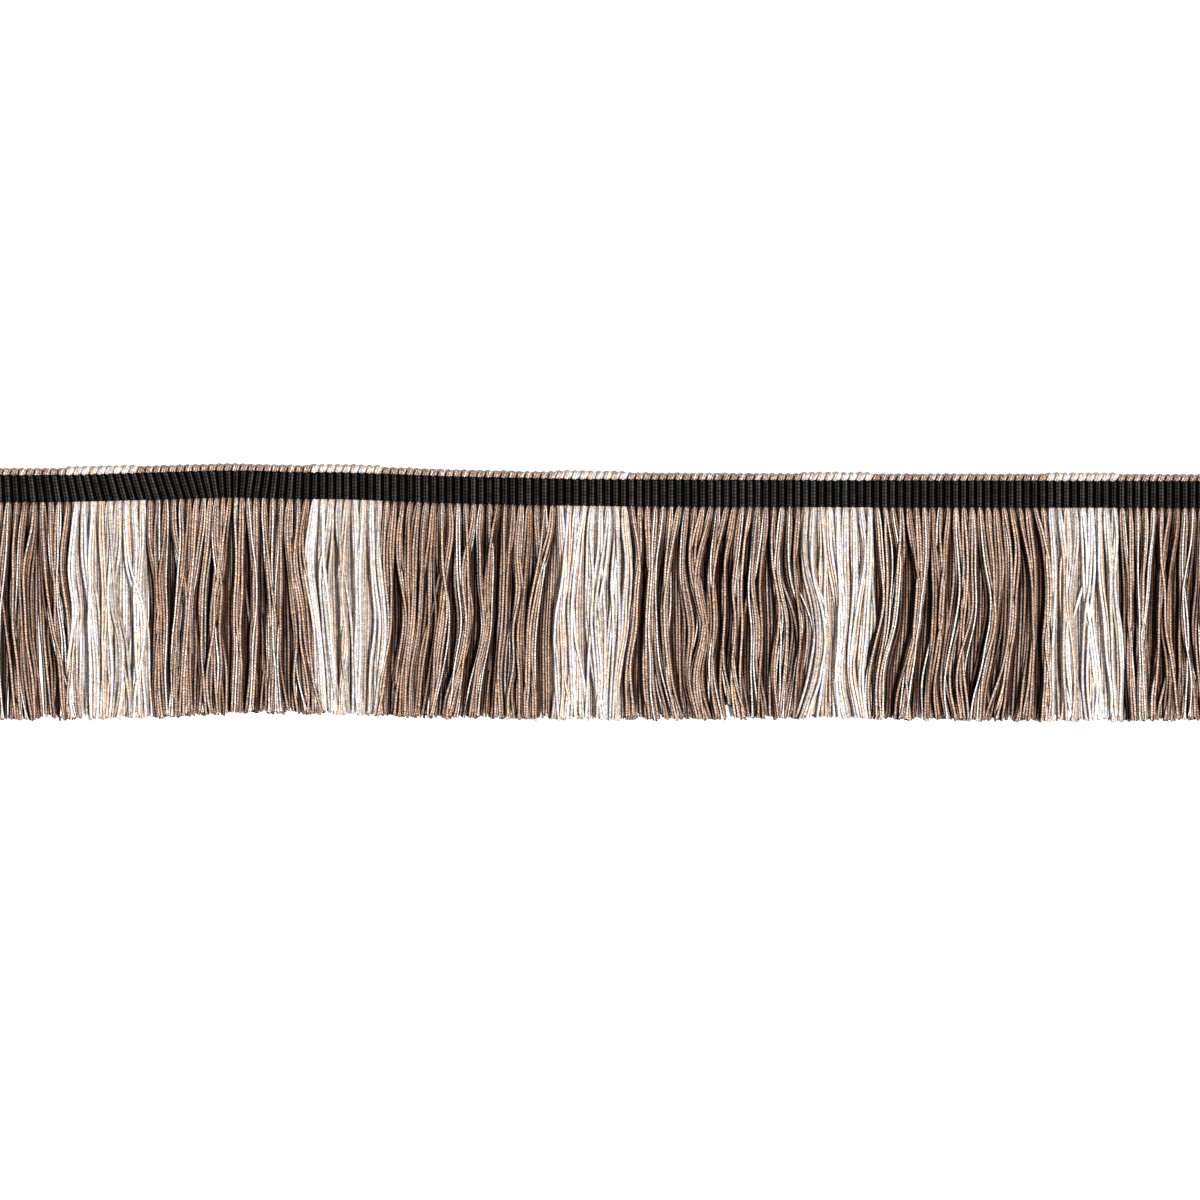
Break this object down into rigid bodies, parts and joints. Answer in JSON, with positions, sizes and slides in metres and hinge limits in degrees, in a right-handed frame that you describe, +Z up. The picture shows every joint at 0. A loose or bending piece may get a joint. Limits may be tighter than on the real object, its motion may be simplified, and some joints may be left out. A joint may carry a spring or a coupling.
{
  "type": "brush fringe trim",
  "caption": "Cut length of brush fringe: a black ribbed woven heading with turned weft loops on its top edge and cut yarn locks hanging in brown and ivory blocks.",
  "frame": {"origin": "middle of the trim's outline, on the surface that it lies on", "axes": "+X along the trim, +Y from the cut ends of the fringe towards the heading, +Z up out of the face"},
  "size_m": [0.3, 0.0626, 0.002],
  "materials": {
    "heading_black": "ribbed satin",
    "weft_brown": "matte twisted yarn",
    "weft_ivory": "matte twisted yarn"
  },
  "bodies": {
    "root": {"heading": "heading_black", "loops_brown_1": "weft_brown", "fringe_brown_1": "weft_brown", "loops_ivory_1": "weft_ivory", "fringe_ivory_1": "weft_ivory", "loops_brown_2": "weft_brown", "fringe_brown_2": "weft_brown", "loops_ivory_2": "weft_ivory", "fringe_ivory_2": "weft_ivory", "loops_brown_3": "weft_brown", "fringe_brown_3": "weft_brown", "loops_ivory_3": "weft_ivory", "fringe_ivory_3": "weft_ivory", "loops_brown_4": "weft_brown", "fringe_brown_4": "weft_brown", "loops_ivory_4": "weft_ivory", "fringe_ivory_4": "weft_ivory", "loops_brown_5": "weft_brown", "fringe_brown_5": "weft_brown", "loops_ivory_5": "weft_ivory", "fringe_ivory_5": "weft_ivory", "loops_brown_6": "weft_brown", "fringe_brown_6": "weft_brown"}
  },
  "joints": []
}
